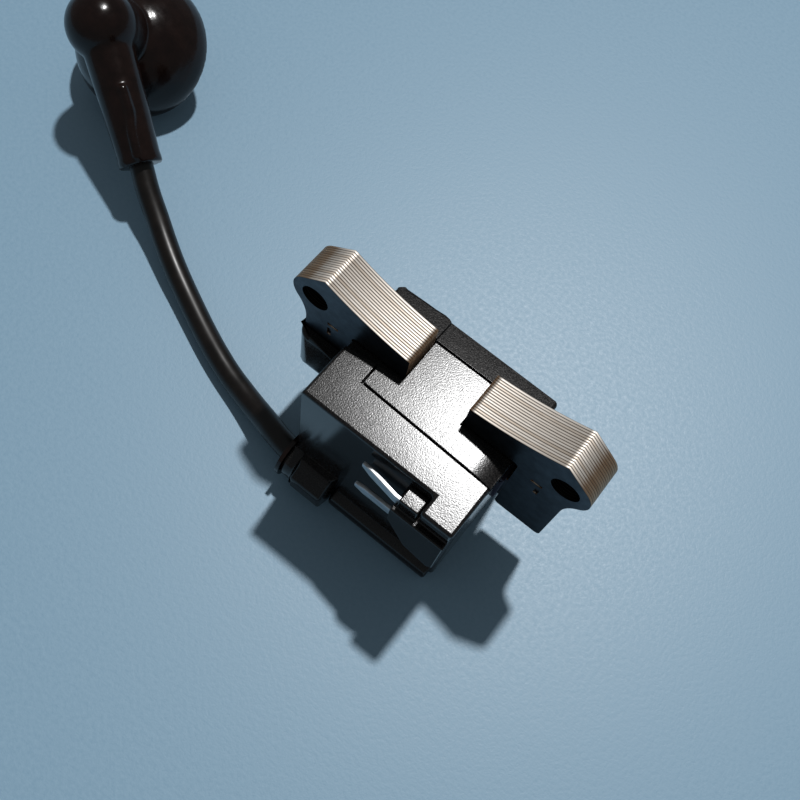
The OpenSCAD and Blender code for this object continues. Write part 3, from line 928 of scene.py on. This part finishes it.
@dataclass
class LaminatedCore:
    """Two L-shaped stacks of steel sheets and the bar between them."""

    sheet_mm: float = 0.5
    count: int = 16
    middle_y: float = 6.6
    pole_r: float = 57.0
    tip_x: float = 6.2
    tip_z: float = 45.0
    shoe_t: float = 6.2
    pole_end_x: float = 24.4
    bolt: Point2 = (26.1, 42.5)
    bolt_r: float = 2.75
    ear_r: float = 4.8
    leg_in: float = 17.7
    leg_out: float = 27.8
    leg_z: float = 18.5
    neck_z: float = 34.0
    foot_r: float = 1.0
    fillet_r: float = 0.8
    bar_half: float = 4.0
    bar_z: float = 26.65
    burr_mm: float = 0.03
    wander_mm: float = 0.02
    seed: int = 7

    def outline(self) -> list[Point2]:
        """Outline of one sheet for the right-hand side.

        Returns:
            Points in the X-Z plane in millimetres, in one turn round the sheet.
        """
        shoe_z = self.tip_z - self.shoe_t
        arc_z = self.tip_z + math.sqrt(self.pole_r**2 - self.tip_x**2)
        pole_end = (self.pole_end_x, arc_z - math.sqrt(self.pole_r**2 - self.pole_end_x**2))
        to_bolt = (self.bolt[0] - pole_end[0], self.bolt[1] - pole_end[1])
        reach = math.hypot(*to_bolt)
        facet_angle = math.atan2(to_bolt[1], to_bolt[0]) + math.asin(self.ear_r / reach)
        facet_length = math.sqrt(reach**2 - self.ear_r**2)
        facet_foot = (
            pole_end[0] + facet_length * math.cos(facet_angle),
            pole_end[1] + facet_length * math.sin(facet_angle),
        )
        neck_dx = self.leg_out - self.bolt[0]
        neck_dz = self.bolt[1] - self.neck_z
        neck_r = (neck_dz**2 + neck_dx**2 - self.ear_r**2) / (2 * (self.ear_r - neck_dx))
        neck = (self.leg_out + neck_r, self.neck_z)
        share = self.ear_r / (self.ear_r + neck_r)
        neck_top = (
            self.bolt[0] + share * (neck[0] - self.bolt[0]),
            self.bolt[1] + share * (neck[1] - self.bolt[1]),
        )
        points = [(self.tip_x, shoe_z)]
        points += arc((self.leg_in - self.fillet_r, shoe_z - self.fillet_r), self.fillet_r, 90, 0, 4)
        points += arc((self.leg_in + self.foot_r, self.leg_z + self.foot_r), self.foot_r, 180, 270, 6)
        points += arc((self.leg_out - self.foot_r, self.leg_z + self.foot_r), self.foot_r, 270, 360, 6)
        points += arc(neck, neck_r, 180, angle_of(neck, neck_top), 14)
        ear = arc(self.bolt, self.ear_r, angle_of(self.bolt, neck_top), angle_of(self.bolt, facet_foot), 22)
        points += ear[1:]
        middle = (0.0, arc_z)
        tip = (self.tip_x, self.tip_z)
        points += arc(middle, self.pole_r, angle_of(middle, pole_end), angle_of(middle, tip), 20)
        return points

    def interlocks(self) -> list[list[Point2]]:
        """Outlines of the small stamped slots that lock the first sheet to the next.

        Returns:
            One four-cornered outline for each slot.
        """
        places = [(self.leg_in + 4.2, 37.2, 0.0), (self.leg_in + 4.9, 34.6, 90.0)]
        slots = []
        for x, z, turn in places:
            along = (math.cos(math.radians(turn)) * 1.15, math.sin(math.radians(turn)) * 1.15)
            across = (-along[1] * 0.36, along[0] * 0.36)
            corners = [(-1, -1), (1, -1), (1, 1), (-1, 1)]
            slots.append([
                (x + a * along[0] + b * across[0], z + a * along[1] + b * across[1]) for a, b in corners
            ])
        return slots

    def sheet_mesh(self, outlines: list[list[Point2]]) -> bpy.types.Mesh:
        """One sheet with rounded cut edges, its first outline outside and the others holes.

        Args:
            outlines: Closed outlines in millimetres.

        Returns:
            A mesh in metres, lying in X-Y and centred on Z.
        """
        data = bpy.data.curves.new("sheet_outline", "CURVE")
        data.dimensions = "2D"
        data.fill_mode = "BOTH"
        data.extrude = (self.sheet_mm / 2 - self.burr_mm) * MM
        data.bevel_depth = self.burr_mm * MM
        data.bevel_resolution = 0
        data.offset = -self.burr_mm * MM
        for outline in outlines:
            spline = data.splines.new("POLY")
            spline.points.add(len(outline) - 1)
            spline.use_cyclic_u = True
            for point, place in zip(spline.points, outline):
                point.co = (place[0] * MM, place[1] * MM, 0, 1)
        holder = bpy.data.objects.new("sheet_outline", data)
        link(holder)
        bpy.context.view_layer.update()
        solid = holder.evaluated_get(bpy.context.evaluated_depsgraph_get())
        mesh = bpy.data.meshes.new_from_object(solid)
        bpy.data.objects.remove(holder)
        return mesh

    def stack(
        self, name: str, first: bpy.types.Mesh, other: bpy.types.Mesh, side: Side, seed: int
    ) -> bpy.types.Object:
        """Stacks the sheets along Y, each a hair out of line with the next.

        Args:
            name: Name of the piece.
            first: Mesh of the front sheet.
            other: Mesh of all the others.
            side: Which half of the core.
            seed: Seed of the small misalignments.

        Returns:
            The stacked piece.
        """
        draw = random.Random(seed)
        shape = bmesh.new()
        front = self.middle_y - self.sheet_mm * self.count / 2
        stand_up = Matrix.Rotation(math.radians(90), 4, "X")
        hand = Matrix.Scale(side.value, 4, (1, 0, 0))
        for i in range(self.count):
            y = front + (i + 0.5) * self.sheet_mm
            slip = Vector((draw.uniform(-1, 0) * self.wander_mm, 0, draw.uniform(-1, 1) * self.wander_mm))
            place = Matrix.Translation((Vector((0, y, 0)) + slip) * MM)
            copy = (first if i == 0 else other).copy()
            copy.transform(hand @ place @ stand_up)
            shape.from_mesh(copy)
            bpy.data.meshes.remove(copy)
        bmesh.ops.remove_doubles(shape, verts=shape.verts, dist=1e-7)
        bmesh.ops.recalc_face_normals(shape, faces=shape.faces)
        return new_piece(name, shape)

    def bar_mesh(self) -> bpy.types.Mesh:
        """One sheet of the square bar.

        Returns:
            A mesh in metres, lying in X-Y and centred on Z.
        """
        low, high = self.bar_z - self.bar_half, self.bar_z + self.bar_half
        outline = [(-self.leg_in, low), (self.leg_in, low), (self.leg_in, high), (-self.leg_in, high)]
        return self.sheet_mesh([outline])

    def build(self, shelf: MaterialShelf) -> list[bpy.types.Object]:
        """Makes both pole pieces and the bar.

        Args:
            shelf: Where the material comes from.

        Returns:
            The three pieces.
        """
        steel = shelf.get("lamination_steel")
        hole = arc(self.bolt, self.bolt_r, 0, 360, 48)[:-1]
        plain = self.sheet_mesh([self.outline(), hole])
        slotted = self.sheet_mesh([self.outline(), hole, *self.interlocks()])
        pieces = []
        halves = (
            ("core_left_sheets", "core_left", Side.LEFT), ("core_right_sheets", "core_right", Side.RIGHT),
        )
        for name, node, side in halves:
            stack = self.stack(name, slotted, plain, side, self.seed + side.value)
            pieces.append(settle(stack, steel, "lamination_steel", node))
        bar = self.bar_mesh()
        bars = self.stack("core_bar_sheets", bar, bar, Side.RIGHT, self.seed)
        pieces.append(settle(bars, steel, "lamination_steel", "core_bar"))
        return pieces


@dataclass
class MouldedPart:
    """One part that keeps its CAD shape and gets the rounded edges of its process."""

    node: str
    name: str
    slot: str
    edge_mm: float
    segments: int = 2

    def build(self, frame: dict, shelf: MaterialShelf) -> bpy.types.Object:
        """Makes the part.

        Args:
            shelf: Where the material comes from.

        Returns:
            The finished piece.
        """
        piece = welded_copy(frame["nodes"][self.node], self.name)
        soften(piece, self.edge_mm, self.segments)
        shade(piece)
        return settle(piece, shelf.get(self.slot), self.slot, self.node)


@dataclass
class CoilCase:
    """Moulded case, its cover, the terminal block, both blades and everything potted inside."""

    parts: Sequence[MouldedPart] = (
        MouldedPart("terminal_block", "terminal_block_moulding", "moulded_case", 0.3, 3),
        MouldedPart("stop_terminal", "stop_terminal_blade", "tinned_brass", 0.16),
        MouldedPart("ground_terminal", "ground_terminal_blade", "tinned_brass", 0.16),
        MouldedPart("potting_resin", "potting_resin_fill", "potting_resin", 0.5, 3),
        MouldedPart("primary_bobbin", "primary_bobbin_moulding", "bobbin_plastic", 0.12),
        MouldedPart("secondary_bobbin", "secondary_bobbin_moulding", "bobbin_plastic", 0.1),
        MouldedPart("circuit_board", "circuit_board_panel", "board_laminate", 0.08),
        MouldedPart("switching_transistor", "switching_transistor_body", "component_epoxy", 0.25),
        MouldedPart("timing_capacitor", "timing_capacitor_body", "component_epoxy", 0.7, 4),
        MouldedPart("clamp_diode", "clamp_diode_body", "component_epoxy", 0.25),
        MouldedPart("control_resistors", "control_resistor_bodies", "component_epoxy", 0.35),
        MouldedPart("ground_strap", "ground_strap_strip", "brass_strip", 0.06),
        MouldedPart("ht_pin", "ht_pin_rod", "brass_strip", 0.1),
        MouldedPart("lead_grommet", "lead_grommet_bush", "moulded_rubber", 0.6, 4),
    )
    case_edge_mm: float = 0.65
    inner_edge_mm: float = 0.13
    sides_x: Point2 = (-17.6, 16.7)
    sides_y: Point2 = (-10.9, 16.0)
    back_start_mm: float = 11.3
    back_end_mm: float = 16.0
    back_drop_mm: float = 0.5
    top_mm: float = 39.8
    cover_edge_mm: float = 0.16
    roll_start_mm: float = 11.6
    roll_end_mm: float = 16.65
    roll_drop_mm: float = 0.7
    ridge_mm: float = 0.62
    ridge_height_mm: float = 0.06

    def outside(self, spot: Vector) -> bool:
        """Picks the edges round the case's outer walls.

        Args:
            spot: Middle of an edge in millimetres.

        Returns:
            True on or beyond the four outer walls.
        """
        slack = 0.1
        return (
            spot.x < self.sides_x[0] + slack or spot.x > self.sides_x[1] - slack
            or spot.y < self.sides_y[0] + slack or spot.y > self.sides_y[1] - slack
        )

    def case(self, frame: dict, shelf: MaterialShelf) -> bpy.types.Object:
        """Makes the case, whose rear strip slopes down to the back as its mould needs.

        Args:
            shelf: Where the material comes from.

        Returns:
            The finished piece.
        """
        piece = welded_copy(frame["nodes"]["housing"], "case_moulding")
        for vert in piece.data.vertices:
            back = (vert.co.y / MM - self.back_start_mm) / (self.back_end_mm - self.back_start_mm)
            if back > 0.001 and vert.co.z / MM > self.top_mm - 0.1:
                vert.co.z -= back * self.back_drop_mm * MM
        soften(piece, self.case_edge_mm, 3, where=self.outside)
        soften(piece, self.inner_edge_mm, 2)
        shade(piece)
        return settle(piece, shelf.get("moulded_case"), "moulded_case", "housing")

    def cover(self, frame: dict, shelf: MaterialShelf) -> bpy.types.Object:
        """Makes the cover, whose right-hand end rolls down in fine cross ridges.

        Args:
            shelf: Where the material comes from.

        Returns:
            The finished piece.
        """
        piece = welded_copy(frame["nodes"]["coil_cover"], "cover_moulding")
        shape = bmesh.new()
        shape.from_mesh(piece.data)
        x = self.roll_start_mm
        while x < self.roll_end_mm:
            geometry = [*shape.verts, *shape.edges, *shape.faces]
            bmesh.ops.bisect_plane(
                shape, geom=geometry, dist=1e-7, plane_co=(x * MM, 0, 0), plane_no=(1, 0, 0)
            )
            x += self.ridge_mm / 2
        for vert in shape.verts:
            along = vert.co.x / MM - self.roll_start_mm
            if along > 0.01 and vert.co.z / MM > self.top_mm - 0.1:
                share = along / (self.roll_end_mm - self.roll_start_mm)
                tooth = self.ridge_height_mm * (round(along / (self.ridge_mm / 2)) % 2)
                vert.co.z -= (self.roll_drop_mm * share**2 + tooth) * MM
        shape.to_mesh(piece.data)
        shape.free()
        soften(piece, self.cover_edge_mm, 2, 60)
        shade(piece)
        return settle(piece, shelf.get("moulded_case"), "moulded_case", "coil_cover")

    def build(self, frame: dict, shelf: MaterialShelf) -> None:
        """Makes the parts.

        Args:
            shelf: Where the materials come from.
        """
        for part in self.parts:
            part.build(frame, shelf)
        self.case(frame, shelf)
        self.cover(frame, shelf)


@dataclass
class Windings:
    """Primary wire in close turns and the fine secondary wire in its six slots."""

    middle: Point2 = (6.6, 26.65)
    end_x: float = 14.2
    bobbin_wall: float = 0.8
    primary_half: float = 5.65
    primary_wire: float = 0.6
    secondary_half: float = 7.3
    # Real wire is much finer; it is drawn thicker so that its turns show.
    secondary_wire: float = 0.3
    slots: int = 6
    slot_wall: float = 0.7

    def build(self, shelf: MaterialShelf) -> None:
        """Makes both windings.

        Args:
            shelf: Where the material comes from.
        """
        copper = shelf.get("copper_wire")
        inner = self.end_x - self.bobbin_wall
        primary = wound_square(
            "primary_winding_turns", (-inner, inner), self.primary_half, self.primary_wire, self.middle
        )
        settle(primary, copper, "copper_wire", "primary_winding")
        pitch = (2 * self.end_x - self.slot_wall) / self.slots
        rows = [
            (-self.end_x + i * pitch + self.slot_wall, -self.end_x + (i + 1) * pitch)
            for i in range(self.slots)
        ]
        secondary = wound_square(
            "secondary_winding_turns", rows[0], self.secondary_half, self.secondary_wire, self.middle, rows
        )
        settle(secondary, copper, "copper_wire", "secondary_winding")


@dataclass
class PlugCap:
    """Rubber elbow moulded in one piece, with the clip and the contact screw inside it."""

    head: Point3 = (-105.25, 29.71, 24.5)
    to_lead: Point3 = (0.7515, -0.4762, -0.4555)
    to_plug: Point3 = (-0.03, 0.545, -0.838)
    head_r: float = 7.5
    sleeve_r: Point2 = (5.5, 4.5)
    # A low fold in the rubber: distance along the sleeve and shift to the side.
    fold_side: Point3 = (0.365, -0.275, 0.889)
    fold_path: Sequence[Point2] = ((13.5, -0.5), (19.0, -0.7), (23.0, 0.1), (28.4, 0.3))
    fold_r: float = 1.0
    fold_sunk: float = 0.15
    sleeve_length: float = 29.2
    lip_length: float = 1.4
    lip_rise: float = 0.12
    flange_r: float = 15.2
    flange_d: float = 19.2
    bore_start: float = 12.4
    bore_r: float = 2.6
    socket_r: float = 5.0
    socket_d: float = 14.0
    pocket_r: float = 3.75
    pocket_start: float = -2.2
    voxel_mm: float = 0.42
    smooth_rounds: int = 4

    def fold(self, shape: bmesh.types.BMesh) -> None:
        """Adds the low ridge that runs along the sleeve.

        Args:
            shape: The bmesh to add to.
        """
        axis = Vector(self.to_lead).normalized()
        side = Vector(self.fold_side)
        out = (side - axis * axis.dot(side)).normalized()
        root, rim = self.sleeve_r
        spots = []
        for along, shift in self.fold_path:
            radius = root + (rim - root) * along / self.sleeve_length - self.fold_sunk
            spots.append(Vector(self.head) + axis * along + out * radius + axis.cross(out) * shift)
        for start, end in zip(spots, spots[1:]):
            way = end - start
            rod = [(0, 0), (self.fold_r, 0), (self.fold_r, way.length), (0, way.length)]
            lathe(shape, rod, start, way, 12)

    def turned(
        self, name: str, bodies: list[tuple[list[Point2], Point3]], folded: bool = False
    ) -> bpy.types.Object:
        """Makes one object from bodies turned about axes through the head's middle.

        Args:
            name: Name of the object.
            bodies: Profile and axis direction of each body.
            folded: Whether the sleeve's fold is added.

        Returns:
            The object, with one closed shell for each body.
        """
        shape = bmesh.new()
        if folded:
            self.fold(shape)
        for profile, way in bodies:
            lathe(shape, profile, Vector(self.head), Vector(way))
        bmesh.ops.recalc_face_normals(shape, faces=shape.faces)
        return new_piece(name, shape)

    def shells(self) -> list[tuple[list[Point2], Point3]]:
        """Profiles of the head, the sleeve and the bell.

        Returns:
            Profile and axis direction of each body.
        """
        ball = [(r, -z) for r, z in arc((0, 0), self.head_r, 90, -90, 24)]
        ball[0], ball[-1] = (0, -self.head_r), (0, self.head_r)
        root, rim = self.sleeve_r
        end = self.sleeve_length
        lip = end - self.lip_length
        proud = rim + self.lip_rise
        sleeve = [
            (0, 0), (root, 0), (rim, lip - 0.5), (proud, lip), (proud, end - 0.3), (rim, end), (0, end),
        ]
        bell = [
            (0, 0), (self.head_r - 0.1, 0), (7.4, 6.1), (7.9, 6.6), (9.1, 7.3), (10.5, 8.5), (11.8, 9.8),
            (13.0, 11.4), (13.9, 13.0), (14.6, 14.5), (15.0, 15.9), (self.flange_r, 17.0),
            (self.flange_r, self.flange_d - 0.4), (self.flange_r - 0.4, self.flange_d), (0, self.flange_d),
        ]
        return [(ball, self.to_plug), (sleeve, self.to_lead), (bell, self.to_plug)]

    def hollows(self) -> list[tuple[list[Point2], Point3]]:
        """Profiles of the lead's bore, the screw's channel, the plug socket and the clip's pocket.

        Returns:
            Profile and axis direction of each hollow.
        """
        past = 2.0
        outside = self.sleeve_length + past
        lead = [(0, self.bore_start), (self.bore_r, self.bore_start), (self.bore_r, outside), (0, outside)]
        screw = [(0, 1), (0.6, 1), (0.6, self.bore_start + 1), (0, self.bore_start + 1)]
        mouth = self.flange_d - self.socket_d
        plug = [
            (0, self.pocket_start), (self.pocket_r, self.pocket_start), (self.pocket_r, mouth),
            (self.socket_r, mouth), (self.socket_r, self.flange_d + past), (0, self.flange_d + past),
        ]
        return [(lead, self.to_lead), (screw, self.to_lead), (plug, self.to_plug)]

    def build(self, shelf: MaterialShelf) -> bpy.types.Object:
        """Makes the rubber cap: shells blended into one skin, then hollowed.

        Args:
            shelf: Where the material comes from.

        Returns:
            The finished cap.
        """
        cap = self.turned("plug_cap_rubber", self.shells(), folded=True)
        skin = cap.modifiers.new("one_skin", "REMESH")
        skin.mode = "VOXEL"
        skin.voxel_size = self.voxel_mm * MM
        relax = cap.modifiers.new("soft_joints", "SMOOTH")
        relax.factor = 0.5
        relax.iterations = self.smooth_rounds
        bake(cap)
        for number, hollow in enumerate(self.hollows()):
            cutter = self.turned(f"cap_hollow_{number}", [hollow])
            carve = cap.modifiers.new("hollow", "BOOLEAN")
            carve.operation = "DIFFERENCE"
            carve.solver = "EXACT"
            carve.object = cutter
            bake(cap)
            bpy.data.objects.remove(cutter)
        smooth_by_angle(cap, 40)
        return settle(cap, shelf.get("moulded_rubber"), "moulded_rubber", "plug_cap")

    def inner(self, frame: dict, shelf: MaterialShelf) -> list[bpy.types.Object]:
        """Makes the clip and the contact screw.

        Args:
            shelf: Where the materials come from.

        Returns:
            Both pieces.
        """
        clip = MouldedPart("cap_clip", "cap_clip_spring", "spring_steel", 0.12)
        screw = MouldedPart("cap_spike", "cap_contact_screw", "brass_strip", 0.15)
        return [part.build(frame, shelf) for part in (clip, screw)]


@dataclass
class Studio:
    """Floor, key lamp and soft surrounding light."""

    floor_size_m: float = 3.0
    to_lamp: Point3 = (-0.046, 0.379, 0.924)
    lamp_distance_m: float = 3.36
    lamp_size_m: float = 0.16
    lamp_watts: float = 68.0
    sky: str = "#dfe6ea"
    sky_strength: float = 0.16

    def build(self) -> None:
        """Makes the floor and the lights."""
        half = self.floor_size_m / 2
        shape = bmesh.new()
        corners = ((-half, -half), (half, -half), (half, half), (-half, half))
        shape.faces.new([shape.verts.new((x, y, 0)) for x, y in corners])
        floor = new_piece("floor_paper", shape)
        floor.data.materials.append(PaintedPaperFloor().build())
        data = bpy.data.lights.new("key_lamp", "AREA")
        data.shape = "DISK"
        data.size = self.lamp_size_m
        data.energy = self.lamp_watts
        lamp = link(bpy.data.objects.new("key_lamp", data))
        away = Vector(self.to_lamp).normalized()
        lamp.location = away * self.lamp_distance_m
        lamp.rotation_euler = away.to_track_quat("Z", "Y").to_euler()
        world = bpy.data.worlds.new("soft_room")
        world.use_nodes = True
        background = world.node_tree.nodes["Background"]
        background.inputs["Color"].default_value = linear(self.sky)
        background.inputs["Strength"].default_value = self.sky_strength
        bpy.context.scene.world = world
        bpy.context.scene.view_settings.view_transform = "Standard"


def main() -> None:
    """Builds every sub-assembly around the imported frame."""
    logging.basicConfig(level=logging.INFO, format="%(name)s: %(message)s")
    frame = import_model()
    shelf = MaterialShelf()
    View().build()
    lead_plan = HighTensionLead()
    lead = lead_plan.build(shelf)
    LaminatedCore().build(shelf)
    CoilCase().build(frame, shelf)
    Windings().build(shelf)
    cap_plan = PlugCap()
    cap = cap_plan.build(shelf)
    cap_plan.inner(frame, shelf)
    Studio().build()


if __name__ == "__main__":
    main()
